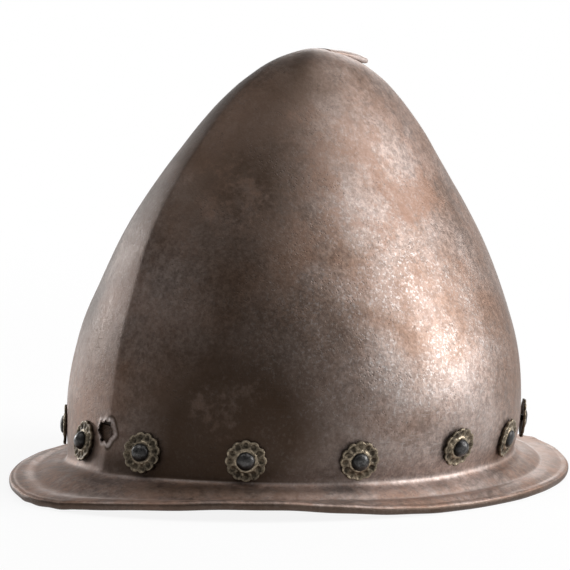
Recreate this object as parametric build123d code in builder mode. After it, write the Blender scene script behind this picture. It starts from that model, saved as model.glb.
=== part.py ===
# A cabasset: an almond-shaped iron helmet with a median ridge, a short beak bent to the rear at its
# apex, a narrow brim with a turned edge, and a row of lining rivets on rosette washers round its base.
# Front is -Y, the wearer's left is +X, up is +Z. The turned edge stands on z = 0.
# All lengths are millimetres. A name that ends in share or shares is a plain ratio.

import math
import os

from build123d import *

os.makedirs("parts", exist_ok=True)

# Driving dimensions of the plate
plate_thickness = 1.3        # forged sheet of the bowl and the brim
brim_length = 338.6          # over the turned edge, front to rear
brim_width = 252.6           # over the turned edge, side to side
brim_tip_radius = 52.0       # round front and rear ends of the brim, on the line of the turned edge
bowl_half_length = 126.0     # from the middle of the bowl to its ridge near the base
bowl_half_width = 113.0      # at the widest place of the bowl
bowl_height = 202.5          # from the foot of the bowl to its top
foot_height = 15.2           # where the bowl turns outwards into the brim

# Turned edge of the brim and the wire that it is rolled over
roll_diameter = 4.6
wire_diameter = 2.1
wire_clearance = 0.15        # all round the wire
rest_flat = 0.2              # how much the turned edge is worn flat underneath

# Beak at the apex
beak_length = 33.0           # from its root on the top to its tip
beak_root_y = 9.5            # behind the middle of the helmet
beak_drop = 4.9              # from the root's middle height to the tip's
beak_thickness = 2.6         # at the root
beak_width = 13.0            # at the root

# Torn hole on the front ridge
tear_size = 11.0
tear_height = 32.2           # of its middle
tear_offset = -1.5           # of its middle from the ridge, towards the wearer's right
tear_reach = 12.0            # how far the cut runs into and out of the ridge

# The row of rivets, set by eye: it dips towards the front
rivet_heights = (24.9, 24.9, 25.6, 28.9, 27.4, 30.0, 29.0)

# Lining rivets, their rosettes, their burrs inside and the leather lining strap
rivet_head_diameter = 9.0
rivet_head_height = 3.5
shank_diameter = 3.2
tail_diameter = 5.2
tail_height = 1.1
hole_clearance = 0.15        # between the shank and each hole that it passes
rosette_diameter = 20.2
rosette_sheet = 0.8          # thickness of the stamped brass
rosette_stand_off = 0.6      # the rosette's edge off the bowl
rosette_dish = 0.75          # how much the middle stands above the edge
petal_radius = 2.75          # each lobe of the scalloped edge
eye_radius = 1.45            # ring that frames each dimple
dimple_radius = 0.85
eye_height = 0.4
loose_lift = 1.2             # the slack rosette at the left rear stands this much further out
strap_height = 27.4          # of its middle line
strap_width = 15.0
strap_thickness = 2.0
strap_clearance = 0.8        # between the leather and the plate at the rivets
strap_joint_gap = 0.3        # where the two halves of the strap meet, front and rear
burr_diameter = 8.6
burr_thickness = 0.8
seat_gap = 0.3               # between stacked pieces on a rivet

overrun = 6.0                # how far a cutting solid runs past what it cuts

# Counts and angles
petals = 12
edge_seat_share = 0.95       # how high on the turned edge the brim's plate meets it
half_points = 15             # points on each side of a level outline
brim_rows = 10
bowl_rows = 18
rivet_angles = (16.2, 40.7, 65.2, 90.8, 112.8, 136.2, 162.0)
angle_step = 0.5
RIGHT_ANGLE = 90.0
rivet_names = ("front", "front_side", "fore_side", "mid_side", "aft_side", "rear_side", "rear")
loose_name = "rear_side"     # on the wearer's left

# Levels of the bowl from its foot to its top: height, front, rear, width and keel.
# Heights are shares of bowl_height, front and rear of bowl_half_length, widths of bowl_half_width.
# The keel share is how strongly the two sides meet in a ridge.
bowl_level_shares = (
    (0.0, 1.041, 0.994, 0.938, 0.16),
    (0.055, 1.022, 0.992, 0.978, 0.18),
    (0.142, 1.003, 0.984, 0.998, 0.20),
    (0.266, 0.974, 0.967, 0.963, 0.20),
    (0.415, 0.906, 0.925, 0.835, 0.20),
    (0.564, 0.811, 0.837, 0.671, 0.20),
    (0.713, 0.653, 0.692, 0.498, 0.20),
    (0.838, 0.473, 0.541, 0.354, 0.20),
    (0.927, 0.299, 0.387, 0.230, 0.20),
    (0.967, 0.210, 0.271, 0.158, 0.20),
    (0.988, 0.129, 0.171, 0.096, 0.20),
    (0.9965, 0.075, 0.108, 0.057, 0.20),
    (1.0, 0.016, 0.056, 0.023, 0.20),
)
# Levels of the brim from its edge to the foot of the bowl: how far out from the foot to the turned
# edge, and how far down, both as shares of the whole way.
brim_level_shares = ((1.0, 1.0), (0.58, 0.66), (0.27, 0.375), (0.11, 0.24), (0.03, 0.13))
# Across and up the stamped sheet from its bore to its edge: shares of the rosette's radius and of
# rosette_dish
dish_shares = ((0.50, 1.0), (0.56, 0.60), (0.66, 0.56), (0.82, 0.50), (0.92, 0.34), (1.0, 0.0))
# Beak from its root to its tip: shares of its length, drop, width and thickness
beak_shares = ((0.0, 0.0, 1.0, 1.0), (0.7, 0.5, 0.85, 0.9), (1.0, 1.0, 0.4, 0.7))
# Corners of the tear, as shares of tear_size, to the left and up from its middle
tear_shares = (
    (-0.50, 0.06), (-0.36, 0.30), (-0.14, 0.36), (0.02, 0.54), (0.20, 0.40), (0.44, 0.16),
    (0.50, -0.14), (0.30, -0.34), (0.12, -0.52), (-0.16, -0.42), (-0.34, -0.30), (-0.44, -0.10),
)

# Sizes that follow
roll_radius = roll_diameter / 2
bore_radius = wire_diameter / 2 + wire_clearance
roll_height = roll_radius - rest_flat
edge_half_length = brim_length / 2 - roll_radius
edge_half_width = brim_width / 2 - roll_radius
side_radius = (
    (edge_half_length**2 + edge_half_width**2 - 2 * edge_half_length * brim_tip_radius)
    / (2 * (edge_half_width - brim_tip_radius))
)
tip_centre = edge_half_length - brim_tip_radius
side_centre = side_radius - edge_half_width
turn_angle = math.atan2(side_centre, tip_centre)
edge_height = roll_height + roll_radius * edge_seat_share
top_height = foot_height + bowl_height
shank_radius = shank_diameter / 2
hole_radius = shank_radius + hole_clearance
rosette_radius = rosette_diameter / 2
petal_circle = rosette_radius - petal_radius
collar_top = rosette_stand_off + rosette_dish + rosette_sheet
head_seat = collar_top + seat_gap
strap_depth = plate_thickness + strap_clearance
burr_depth = strap_depth + strap_thickness + seat_gap
tail_depth = burr_depth + burr_thickness + seat_gap


def bowl_point(front, rear, width, keel, angle):
    """A point of a bowl outline: an ellipse whose sides are drawn in so that they meet in a ridge."""
    ridge = keel / (1 + keel)
    inside = max(0.0, 1 - (1 - ridge**2) * math.cos(angle) ** 2)
    across = width * ((1 + keel) * math.sqrt(inside) - keel)
    along = (rear - front) / 2 - (rear + front) / 2 * math.cos(angle)
    return math.copysign(across, math.sin(angle)), along


def edge_point(angle):
    """A point on the line of the turned edge: an oval of four tangent arcs."""
    reach = edge_half_length / edge_half_width
    facing = math.atan2(reach * abs(math.sin(angle)), abs(math.cos(angle)))
    if facing < turn_angle:
        across = brim_tip_radius * math.sin(facing)
        along = tip_centre + brim_tip_radius * math.cos(facing)
    else:
        across = side_radius * math.sin(facing) - side_centre
        along = side_radius * math.cos(facing)
    return math.copysign(across, math.sin(angle)), -math.copysign(along, math.cos(angle))


def bowl_levels():
    """Height, front, rear, width and keel of each level of the bowl, in lengths."""
    levels = []
    for height, front, rear, width, keel in bowl_level_shares:
        sizes = (front * bowl_half_length, rear * bowl_half_length, width * bowl_half_width)
        levels.append((foot_height + height * bowl_height, *sizes, keel, 0.0))
    return levels


def brim_levels():
    """The same for the brim: the foot's own sizes, and the share of the way out to the edge."""
    foot = bowl_levels()[0]
    levels = []
    for outward, down in brim_level_shares:
        levels.append((foot_height - (foot_height - edge_height) * down, *foot[1:5], outward))
    return levels + [foot]


def outline_point(level, angle):
    """A point of a level's outline, blended between the bowl's foot and the turned edge."""
    front, rear, width, keel, outward = level[1:]
    inner_point = bowl_point(front, rear, width, keel, angle)
    edge = edge_point(angle)
    return tuple(a + (b - a) * outward for a, b in zip(inner_point, edge))


def mean_radius(level):
    """Mean of the four half lengths of an outline."""
    front, side, rear = (outline_point(level, share * math.pi) for share in (0.0, 0.5, 1.0))
    return (abs(front[1]) + abs(rear[1]) + 2 * side[0]) / 4


def path_lengths(levels):
    """How far each level lies along the mean profile from the first one."""
    lengths = [0.0]
    for low, high in zip(levels, levels[1:]):
        run, rise = mean_radius(high) - mean_radius(low), high[0] - low[0]
        lengths.append(lengths[-1] + math.hypot(run, rise))
    return lengths


def slopes(knots, values):
    """Slope of a smooth curve through the values at each knot, weighted by the nearer neighbour."""
    steep = [(b - a) / (v - u) for a, b, u, v in zip(values, values[1:], knots, knots[1:])]
    inside = []
    for i in range(1, len(knots) - 1):
        before, after = knots[i] - knots[i - 1], knots[i + 1] - knots[i]
        inside.append((steep[i - 1] * after + steep[i] * before) / (before + after))
    return [steep[0]] + inside + [steep[-1]]


def smooth_value(knots, values, place):
    """Value at a place on the cubic curve that passes the values with those slopes."""
    i = max(k for k in range(len(knots) - 1) if knots[k] <= place)
    step = knots[i + 1] - knots[i]
    t = (place - knots[i]) / step
    leave, arrive = slopes(knots, values)[i : i + 2]
    start = values[i] * (1 + 2 * t) * (1 - t) ** 2 + leave * step * t * (1 - t) ** 2
    return start + values[i + 1] * t**2 * (3 - 2 * t) - arrive * step * t**2 * (1 - t)


def even_rows(levels, count):
    """The levels worked out anew at even distances along the profile."""
    knots = path_lengths(levels)
    rows = [levels[0]]
    for k in range(1, count):
        place = knots[-1] * k / count
        rows.append(tuple(smooth_value(knots, column, place) for column in zip(*levels)))
    return rows + [levels[-1]]


def wall_normals(rows):
    """Outward and upward parts of the wall's normal at each row."""
    normals = []
    for i in range(len(rows)):
        before, after = rows[max(i - 1, 0)], rows[min(i + 1, len(rows) - 1)]
        run, rise = mean_radius(before) - mean_radius(after), after[0] - before[0]
        steep = math.hypot(run, rise)
        normals.append((rise / steep, run / steep))
    normals[-1] = (0.0, 1.0)
    return normals


def add_outline(level, inset):
    """Draws the closed outline of a level, moved in by inset, as one curve for each side."""
    steps = [i / (half_points - 1) for i in range(half_points)]
    for side in (1, -1):
        points = []
        for step in steps:
            x, y = outline_point(level, step * math.pi)
            keep = 1 - inset / math.hypot(x, y)
            points.append(Vector(side * x * keep, y * keep))
        add(Edge.make_spline(points, parameters=steps))


def level_sketch(level, height, inset):
    """A filled level outline at a height."""
    with BuildSketch(Plane.XY.offset(height)) as sketch:
        with BuildLine():
            add_outline(level, inset)
        make_face()
    return sketch.sketch


def skull_solid(depth, skirt):
    """Solid within the plate's face that lies depth under its outside, run down by skirt."""
    brim, bowl = even_rows(brim_levels(), brim_rows), even_rows(bowl_levels(), bowl_rows)
    normals = wall_normals(brim[:-1] + bowl)
    sketches = []
    for row, (out, up) in zip(brim[:-1] + bowl, normals):
        sketches.append(level_sketch(row, row[0] - depth * up, depth * out))
    with BuildPart() as body:
        loft(sketches[: len(brim)])
        loft(sketches[len(brim) - 1 :])
        extrude(body.faces().sort_by(Axis.Z)[0], amount=skirt)
    return body.part


def bowl_level_at(height):
    """The bowl's level at any height."""
    levels = bowl_levels()
    heights = [level[0] for level in levels]
    return [smooth_value(heights, column, height) for column in zip(*levels)]


def station(angle, height):
    """Plane on the bowl at a rivet, with its z axis outwards and its x axis level."""
    turn, step = math.radians(angle), math.radians(angle_step)
    points = []
    for place, ahead in ((height, 0.0), (height, step), (height - shank_radius, 0.0)):
        points.append(Vector(*bowl_point(*bowl_level_at(place)[1:5], turn + ahead), place))
    origin, beside, below = points
    along = (beside - origin).normalized()
    return Plane(origin=origin, x_dir=along, z_dir=along.cross(origin - below).normalized())


def mirrored(plane):
    """The same station on the other side of the helmet."""
    origin, x_dir, z_dir = plane.origin, plane.x_dir, plane.z_dir
    return Plane(
        origin=Vector(-origin.X, origin.Y, origin.Z),
        x_dir=Vector(x_dir.X, -x_dir.Y, -x_dir.Z),
        z_dir=Vector(-z_dir.X, z_dir.Y, z_dir.Z),
    )


def rivet(slack):
    """A lining rivet: domed head outside, shank, and tail beaten over its burr inside."""
    seat, top = head_seat + slack, head_seat + slack + rivet_head_height
    foot = -tail_depth - tail_height
    head_radius, tail_radius = rivet_head_diameter / 2, tail_diameter / 2
    with BuildPart() as piece:
        with BuildSketch(Plane.XZ):
            with BuildLine():
                TangentArc((0, top), (head_radius, seat), tangent=(1, 0))
                Polyline(
                    (head_radius, seat),
                    (shank_radius, seat),
                    (shank_radius, -tail_depth),
                    (tail_radius, -tail_depth),
                )
                TangentArc((0, foot), (tail_radius, -tail_depth), tangent=(1, 0))
                Line((0, foot), (0, top))
            make_face()
        revolve(axis=Axis.Z)
    return piece.part


def finish(piece, name):
    """Labels a piece and writes it."""
    piece.label = name
    export_step(piece, f"parts/{name}.step")


def strap_solid(inset):
    """Solid within one face of the lining strap, which leans as the wall does at the rivets."""
    middle = bowl_level_at(strap_height)
    below = bowl_level_at(strap_height - shank_radius)
    sketches = []
    for height in (strap_height - strap_width / 2, strap_height + strap_width / 2):
        steps = (height - strap_height) / shank_radius
        leaning = [m + (m - b) * steps for m, b in zip(middle[1:5], below[1:5])]
        sketches.append(level_sketch((height, *leaning, 0.0), height, inset))
    with BuildPart() as body:
        loft(sketches, ruled=True)
    return body.part


def edge_path():
    """The line of the turned edge as four tangent arcs."""
    tip_turn = math.degrees(turn_angle)
    side_turn = RIGHT_ANGLE - tip_turn
    with BuildLine(Plane.XY.offset(roll_height)) as path:
        CenterArc((0, -tip_centre), brim_tip_radius, -RIGHT_ANGLE - tip_turn, 2 * tip_turn)
        CenterArc((-side_centre, 0), side_radius, -side_turn, 2 * side_turn)
        CenterArc((0, tip_centre), brim_tip_radius, RIGHT_ANGLE - tip_turn, 2 * tip_turn)
        CenterArc((side_centre, 0), side_radius, 2 * RIGHT_ANGLE - side_turn, 2 * side_turn)
    return path.wires()[0]


# Stations of the rivets on both sides, with how far the slack rosette hangs out
stations = {}
for rivet_name, rivet_angle, rivet_height in zip(rivet_names, rivet_angles, rivet_heights):
    plane = station(rivet_angle, rivet_height)
    slack = loose_lift if rivet_name == loose_name else 0.0
    stations[f"left_{rivet_name}"] = (plane, slack)
    stations[f"right_{rivet_name}"] = (mirrored(plane), 0.0)
rivet_hole_planes = [plane.offset(-overrun) for plane, slack in stations.values()]

# Skull: bowl, ridge, brim, turned edge and beak, forged from one plate
edge = edge_path()
start = Plane(origin=edge @ 0, z_dir=edge % 0)
front_reach = bowl_level_at(tear_height)[1]
with BuildPart() as skull:
    add(skull_solid(0.0, edge_height - roll_height))
    for along, down, across, thick in beak_shares:
        with BuildSketch(Plane.XZ.offset(-beak_root_y - beak_length * along)):
            with Locations((0, top_height - beak_thickness / 2 - beak_drop * down)):
                Ellipse(beak_width / 2 * across, beak_thickness / 2 * thick)
    loft()
    add(skull_solid(plate_thickness, foot_height), mode=Mode.SUBTRACT)
    with BuildSketch(start):
        Circle(roll_radius)
    sweep(path=edge)
    with BuildSketch(start):
        Circle(bore_radius)
    sweep(path=edge, mode=Mode.SUBTRACT)
    split(bisect_by=Plane.XY, keep=Keep.TOP)
    with BuildSketch(Plane.XZ.offset(front_reach - tear_reach)):
        with Locations((tear_offset, tear_height)):
            with BuildLine():
                Polyline(*[(tear_size * x, tear_size * y) for x, y in tear_shares], close=True)
            make_face()
    extrude(amount=2 * tear_reach, mode=Mode.SUBTRACT)
    with BuildSketch(*rivet_hole_planes):
        Circle(hole_radius)
    extrude(amount=2 * overrun, mode=Mode.SUBTRACT)
finish(skull.part, "skull")

# Iron wire that the brim's edge is rolled over
with BuildPart() as edge_wire:
    with BuildSketch(start):
        Circle(wire_diameter / 2)
    sweep(path=edge)
finish(edge_wire.part, "edge_wire")

# Leather lining strap in two halves, held inside the bowl by the rivets
for side, way, half in (("left", 1, Keep.TOP), ("right", -1, Keep.BOTTOM)):
    with BuildPart() as strap:
        add(strap_solid(strap_depth))
        add(strap_solid(strap_depth + strap_thickness), mode=Mode.SUBTRACT)
        split(bisect_by=Plane.YZ.offset(way * strap_joint_gap / 2), keep=half)
        with BuildSketch(*rivet_hole_planes):
            Circle(hole_radius)
        extrude(amount=2 * overrun, mode=Mode.SUBTRACT)
    finish(strap.part, f"lining_strap_{side}")

# Stamped rosette: dished sheet with a raised collar, lobed edge and a ring of framed eyes
under = [(hole_radius, rosette_stand_off + rosette_dish)]
for across, up in dish_shares:
    under.append((rosette_radius * across, rosette_stand_off + rosette_dish * up))
over = [(x, y + rosette_sheet) for x, y in reversed(under)]
with BuildPart() as rosette:
    with BuildSketch(Plane.XZ):
        with BuildLine():
            Polyline(*under, *over, close=True)
        make_face()
    revolve(axis=Axis.Z)
    with BuildSketch():
        Circle(petal_circle)
        with PolarLocations(petal_circle, petals):
            Circle(petal_radius)
    extrude(amount=head_seat, mode=Mode.INTERSECT)
    with BuildSketch(Plane.XY.offset(rosette_stand_off + rosette_dish / 2)):
        with PolarLocations(petal_circle, petals):
            Circle(eye_radius)
        with PolarLocations(petal_circle, petals):
            Circle(dimple_radius, mode=Mode.SUBTRACT)
    extrude(amount=rosette_sheet + eye_height)

# Burr: a small iron washer on the leather, under the rivet's tail
with BuildPart() as burr:
    with BuildSketch(Plane.XY.offset(-burr_depth - burr_thickness)):
        Circle(burr_diameter / 2)
        Circle(hole_radius, mode=Mode.SUBTRACT)
    extrude(amount=burr_thickness)

# A rivet, a rosette and a burr at every station
rivets = {slack: rivet(slack) for slack in (0.0, loose_lift)}
for name, (plane, slack) in stations.items():
    finish(rivets[slack].moved(plane.location), f"rivet_{name}")
    finish(rosette.part.moved(plane.offset(slack).location), f"rosette_{name}")
    finish(burr.part.moved(plane.location), f"burr_{name}")
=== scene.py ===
"""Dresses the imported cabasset: an almond-shaped iron helmet that stands on a plain pale floor.

The frame gives the pieces and their places. The plate with its turned edge, the wire in it, the
beak, the rosettes and the rivets are worked out here as fine surfaces; the burrs and the leather
keep their solids. Front is -Y, the wearer's left is +X and up is +Z. Sizes are millimetres, and
Blender's are metres.
"""

import logging
import math
from collections.abc import Sequence
from dataclasses import dataclass
from enum import Enum

import bpy
import numpy as np
from mathutils import Matrix, Vector


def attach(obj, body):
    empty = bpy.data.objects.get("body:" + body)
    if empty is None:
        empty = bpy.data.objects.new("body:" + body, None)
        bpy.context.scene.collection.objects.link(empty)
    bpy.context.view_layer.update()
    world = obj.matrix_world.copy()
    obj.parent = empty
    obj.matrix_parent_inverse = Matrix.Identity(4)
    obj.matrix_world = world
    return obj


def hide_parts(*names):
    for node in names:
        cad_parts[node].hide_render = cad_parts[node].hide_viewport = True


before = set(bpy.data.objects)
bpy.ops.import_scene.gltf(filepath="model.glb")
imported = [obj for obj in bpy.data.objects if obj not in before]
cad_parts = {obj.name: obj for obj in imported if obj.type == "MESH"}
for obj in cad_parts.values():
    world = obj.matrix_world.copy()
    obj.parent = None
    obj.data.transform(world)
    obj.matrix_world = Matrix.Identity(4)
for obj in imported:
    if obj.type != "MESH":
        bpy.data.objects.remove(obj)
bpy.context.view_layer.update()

MM = 0.001
TURN = 2 * math.pi
log = logging.getLogger("cabasset")
Array = np.ndarray
Socket = bpy.types.NodeSocket
Value = Socket | float
Colour = tuple[float, float, float, float]


class Body(Enum):
    """The rigid bodies that pieces ride on."""

    HELMET = "helmet"
    LOOSE = "loose_rosette"


class Slot(Enum):
    """The record's material slots."""

    PLATE = "plate"
    RIVET = "rivet_iron"
    BRASS = "rosette_brass"
    IRON = "plain_iron"
    LEATHER = "leather"


# Surfaces


def smooth_rows(knots: Array, values: Array, places: Array) -> Array:
    """Smooth curve through rows of values: a cubic between knots, its slope at each knot the mean
    of the slopes on both sides, weighted to the nearer neighbour.

    Args:
        knots: rising places of the given rows.
        values: one row of values for each knot.
        places: where the curve is wanted.

    Returns:
        One row of values for each place.
    """
    gaps = np.diff(knots)[:, None]
    steep = np.diff(values, axis=0) / gaps
    inside = (steep[:-1] * gaps[1:] + steep[1:] * gaps[:-1]) / (gaps[:-1] + gaps[1:])
    slopes = np.vstack([steep[:1], inside, steep[-1:]])
    i = np.clip(np.searchsorted(knots, places, side="right") - 1, 0, len(knots) - 2)
    t = (places - knots[i])[:, None] / gaps[i]
    start = values[i] * (1 + 2 * t) * (1 - t) ** 2 + slopes[i] * gaps[i] * t * (1 - t) ** 2
    return start + values[i + 1] * t**2 * (3 - 2 * t) - slopes[i + 1] * gaps[i] * t**2 * (1 - t)


def ease(value: Array, low: float, high: float) -> Array:
    """Rises smoothly from 0 at low to 1 at high."""
    t = np.clip((value - low) / (high - low), 0, 1)
    return t * t * (3 - 2 * t)


def bell(value: Array, middle: float, reach: float) -> Array:
    """A bell curve of height 1 round middle, down to a third at reach."""
    return np.exp(-(((value - middle) / reach) ** 2))


def bells(value: Array, rows: Sequence[Sequence[float]]) -> Array:
    """Sum of bell curves, each given by its height, middle and reach."""
    return sum(height * bell(value, middle, reach) for height, middle, reach in rows)


def patches(degrees: Array, height: Array, rows: Sequence[Sequence[float]]) -> Array:
    """Soft patches on the bowl, each a share times a bell round it times a bell up it.

    Args:
        degrees: of each column, from the front.
        height: of each point.
        rows: for each patch its share, its middle and reach in degrees, and those in height.

    Returns:
        The sum of the patches at each point.
    """
    return sum(row[0] * bell(degrees, *row[1:3]) * bell(height, *row[3:]) for row in rows)


def waves(points: Array, length: float, seed: int) -> Array:
    """Smooth unevenness: the mean of eight sine waves of about one length, in seeded directions.

    Args:
        points: places, one in each last axis.
        length: typical wave length.
        seed: picks the directions and phases.

    Returns:
        One value within -1 and 1 for each place.
    """
    dice = np.random.default_rng(seed)
    ways = dice.normal(size=(8, 3))
    ways *= (TURN / length * dice.uniform(0.6, 1.5, 8) / np.linalg.norm(ways, axis=1))[:, None]
    return np.sin(points @ ways.T + dice.uniform(0, TURN, 8)).mean(axis=-1) * 1.6


def grid_normals(grid: Array) -> Array:
    """Unit normals of a grid that closes along its columns: the cross product of its two tangents.

    Args:
        grid: points, each row closed round.

    Returns:
        One normal for each point.
    """
    along = np.gradient(grid, axis=0)
    around = np.roll(grid, -1, axis=1) - np.roll(grid, 1, axis=1)
    normal = np.cross(around, along)
    return normal / np.maximum(np.linalg.norm(normal, axis=-1, keepdims=True), 1e-9)


def ring_faces(rows: int, columns: int) -> Array:
    """Quads of a grid that closes along its columns.

    Args:
        rows: of the grid.
        columns: points in each row.

    Returns:
        Four indices for each quad, row after row.
    """
    row, column = np.meshgrid(np.arange(rows - 1), np.arange(columns), indexing="ij")
    here, beside = row * columns + column, row * columns + (column + 1) % columns
    return np.stack([here, beside, beside + columns, here + columns], axis=-1).reshape(-1, 4)


def pole_fans(rows: int, columns: int) -> list:
    """Triangles that close a grid's first and last row round two poles that follow its points.

    Args:
        rows: of the grid.
        columns: points in each row.

    Returns:
        The triangles.
    """
    count = rows * columns
    here = np.arange(columns)
    beside = (here + 1) % columns
    pole, last = np.full(columns, count), count - columns
    first = np.stack([pole, beside, here], axis=-1)
    return np.vstack([first, np.stack([pole + 1, last + here, last + beside], axis=-1)]).tolist()


def revolve(profile: Array, columns: int, uneven: float = 0.0, seed: int = 0) -> tuple[Array, list]:
    """Closed solid of a profile turned about the z axis.

    Args:
        profile: distance from the axis and height of each point, from the top pole down.
        columns: points round the axis.
        uneven: how far the surface wanders from round.
        seed: picks the wandering.

    Returns:
        Its points and its faces, the poles closed by triangles.
    """
    angles = np.linspace(0, TURN, columns, endpoint=False)
    reach, height = profile[1:-1, 0][:, None], profile[1:-1, 1][:, None]
    grid = np.stack([reach * np.cos(angles), reach * np.sin(angles), height + 0 * angles], axis=-1)
    grid[..., :] *= (1 + uneven * waves(grid, 3.5, seed))[..., None]
    return close_poles(grid, (0, 0, profile[0, 1]), (0, 0, profile[-1, 1]))


def close_poles(grid: Array, top: Sequence[float], bottom: Sequence[float]) -> tuple[Array, list]:
    """Points and faces of a grid whose first and last rows are fanned to a pole each.

    Args:
        grid: rows of points, each closed round.
        top: the pole before the first row.
        bottom: the pole after the last row.

    Returns:
        Points with the two poles last, and quads with the triangles of both fans.
    """
    rows, columns = grid.shape[:2]
    points = np.vstack([grid.reshape(-1, 3), [top], [bottom]])
    return points, ring_faces(rows, columns).tolist() + pole_fans(rows, columns)


def make_piece(
    name: str,
    points: Array,
    faces: list,
    finish: bpy.types.Material,
    body: Body = Body.HELMET,
    marks: dict[str, Array] | None = None,
    replaces: Sequence[str] = (),
) -> bpy.types.Object:
    """Makes one object of the model, smooth shaded, its faces pointing outwards.

    Args:
        name: the object's name.
        points: places in millimetres.
        faces: corners of each face.
        finish: its material.
        body: what it rides on.
        marks: values for each point that its material reads.
        replaces: CAD nodes that it stands for.

    Returns:
        The new object.
    """
    mesh = bpy.data.meshes.new(name)
    solid = np.asarray(points, dtype=float)
    corners = [solid[[face[k] for face in faces]] for k in range(3)]
    if np.einsum("ij,ij->", corners[0], np.cross(corners[1], corners[2])) < 0:
        faces = [tuple(reversed(face)) for face in faces]
    mesh.from_pydata((solid * MM).tolist(), [], faces)
    mesh.polygons.foreach_set("use_smooth", np.ones(len(mesh.polygons), dtype=bool))
    for mark, values in (marks or {}).items():
        layer = mesh.attributes.new(mark, "FLOAT", "POINT")
        layer.data.foreach_set("value", np.asarray(values, dtype=np.float32))
    mesh.materials.append(finish)
    piece = bpy.data.objects.new(name, mesh)
    bpy.context.scene.collection.objects.link(piece)
    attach(piece, body.value)
    if replaces:
        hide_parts(*replaces)
    log.info("%s: %d points, %d faces", name, len(solid), len(faces))
    return piece


# Materials


class Graph:
    """A node tree that is being filled in."""

    def __init__(self, tree: bpy.types.NodeTree) -> None:
        """Starts on a tree."""
        self.tree = tree

    def add(
        self, kind: str, inputs: dict[str | int, object] | None = None, **settings: object
    ) -> bpy.types.Node:
        """Adds a node, sets it, and links or fills its inputs.

        Args:
            kind: the node's type, without its ShaderNode prefix.
            inputs: a socket or a plain value for each input, by its name or number.
            settings: the node's own properties.

        Returns:
            The node.
        """
        node = self.tree.nodes.new("ShaderNode" + kind)
        for key, value in settings.items():
            setattr(node, key, value)
        for key, value in (inputs or {}).items():
            if isinstance(value, bpy.types.NodeSocket):
                self.tree.links.new(value, node.inputs[key])
            else:
                node.inputs[key].default_value = value
        return node

    def calc(self, operation: str, a: Value, b: Value = 0.0) -> Socket:
        """Result of a sum on two values."""
        return self.add("Math", {0: a, 1: b}, operation=operation).outputs[0]

    def times(self, a: Value, b: Value) -> Socket:
        """Product of two values."""
        return self.calc("MULTIPLY", a, b)

    def plus(self, a: Value, b: Value) -> Socket:
        """Sum of two values."""
        return self.calc("ADD", a, b)

    def minus(self, a: Value, b: Value) -> Socket:
        """What is left of a without b."""
        return self.calc("SUBTRACT", a, b)

    def most(self, a: Value, b: Value) -> Socket:
        """The larger of two values."""
        return self.calc("MAXIMUM", a, b)

    def ramp(self, value: Value, low: float, high: float, to: float = 1.0) -> Socket:
        """Rises smoothly from 0 at low to the given top at high."""
        inputs = {"Value": value, "From Min": low, "From Max": high, "To Max": to}
        return self.add("MapRange", inputs, interpolation_type="SMOOTHSTEP").outputs[0]

    def blend(
        self, share: Value, a: Socket | Colour, b: Socket | Colour, way: str = "MIX"
    ) -> Socket:
        """Colour between a and b."""
        mix = self.add("Mix", {0: share, 6: a, 7: b}, data_type="RGBA", blend_type=way)
        return mix.outputs[2]

    def noise(self, at: Socket, scale: Value, detail: float = 3.0, rough: float = 0.55) -> Socket:
        """Noise of so many waves to a metre."""
        inputs = {"Vector": at, "Scale": scale, "Detail": detail, "Roughness": rough}
        return self.add("TexNoise", inputs).outputs[0]

    def cells(self, at: Socket, scale: Value, feature: str = "F1") -> Socket:
        """Distance in cells, so many to a metre, from their middle or to their edge."""
        inputs = {"Vector": at, "Scale": scale}
        return self.add("TexVoronoi", inputs, feature=feature).outputs["Distance"]

    def bump(self, strength: float, distance: float, height: Socket) -> Socket:
        """Normal of a height, whose full step is so many metres."""
        inputs = {"Strength": strength, "Distance": distance, "Height": height}
        return self.add("Bump", inputs).outputs[0]

    def mark(self, name: str) -> Socket:
        """A value that the piece holds for each of its points."""
        return self.add("Attribute", attribute_name=name).outputs["Fac"]

    def stretch(
        self, at: Socket, scale: Sequence[float], turn: Sequence[float] = (0, 0, 0)
    ) -> Socket:
        """Coordinates turned, then scaled along each axis."""
        return self.add("Mapping", {"Vector": at, "Scale": scale, "Rotation": turn}).outputs[0]


def new_group(
    name: str, inputs: Sequence[tuple[str, float]], outputs: Sequence[str]
) -> tuple[Graph, Socket, dict[str, Socket], bpy.types.Node]:
    """Starts a shader node group that works in Object coordinates.

    Args:
        name: the group's name.
        inputs: name and usual value of each number that it takes.
        outputs: name of each mask or height that it gives.

    Returns:
        The group's graph, its coordinates, its inputs by name, and its output node.
    """
    tree = bpy.data.node_groups.new(name, "ShaderNodeTree")
    for label, usual in inputs:
        socket = tree.interface.new_socket(label, in_out="INPUT", socket_type="NodeSocketFloat")
        socket.default_value = usual
    for label in outputs:
        tree.interface.new_socket(label, in_out="OUTPUT", socket_type="NodeSocketFloat")
    graph = Graph(tree)
    at = graph.add("TexCoord").outputs["Object"]
    entry, end = tree.nodes.new("NodeGroupInput"), tree.nodes.new("NodeGroupOutput")
    return graph, at, {label: entry.outputs[label] for label, _ in inputs}, end


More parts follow.
